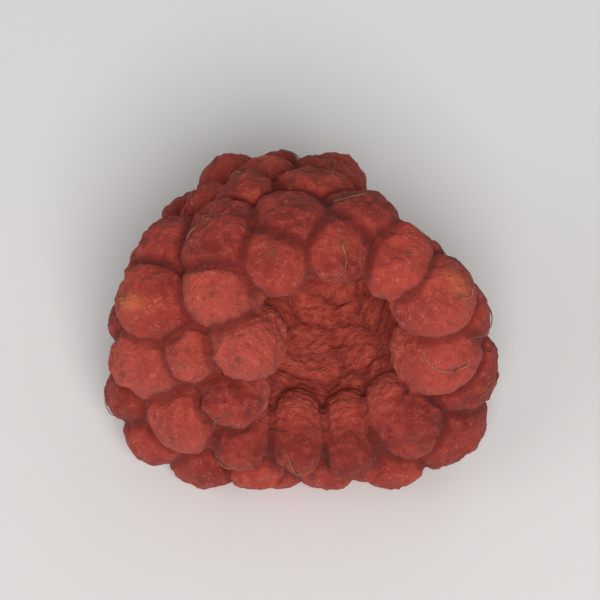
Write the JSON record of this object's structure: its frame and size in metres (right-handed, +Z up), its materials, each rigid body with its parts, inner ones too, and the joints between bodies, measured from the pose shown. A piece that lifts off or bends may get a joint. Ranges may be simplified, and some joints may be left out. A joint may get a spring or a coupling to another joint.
{
  "type": "freeze-dried raspberry",
  "caption": "A whole freeze-dried raspberry lying on its side: matt, dry drupelets packed round a thimble-shaped hollow, which is open where the berry was picked off its core.",
  "frame": {"origin": "on the surface the berry lies on, under the middle of its outline", "axes": "+X across the open mouth, the berry's widest way; +Y from the mouth towards the tip; +Z up from the flattened underside"},
  "size_m": [0.0192, 0.018, 0.016],
  "materials": {
    "dried_flesh": "matt, dusty and slightly rough, like dried fruit"
  },
  "bodies": {
    "root": {"raspberry": "dried_flesh"}
  },
  "joints": []
}
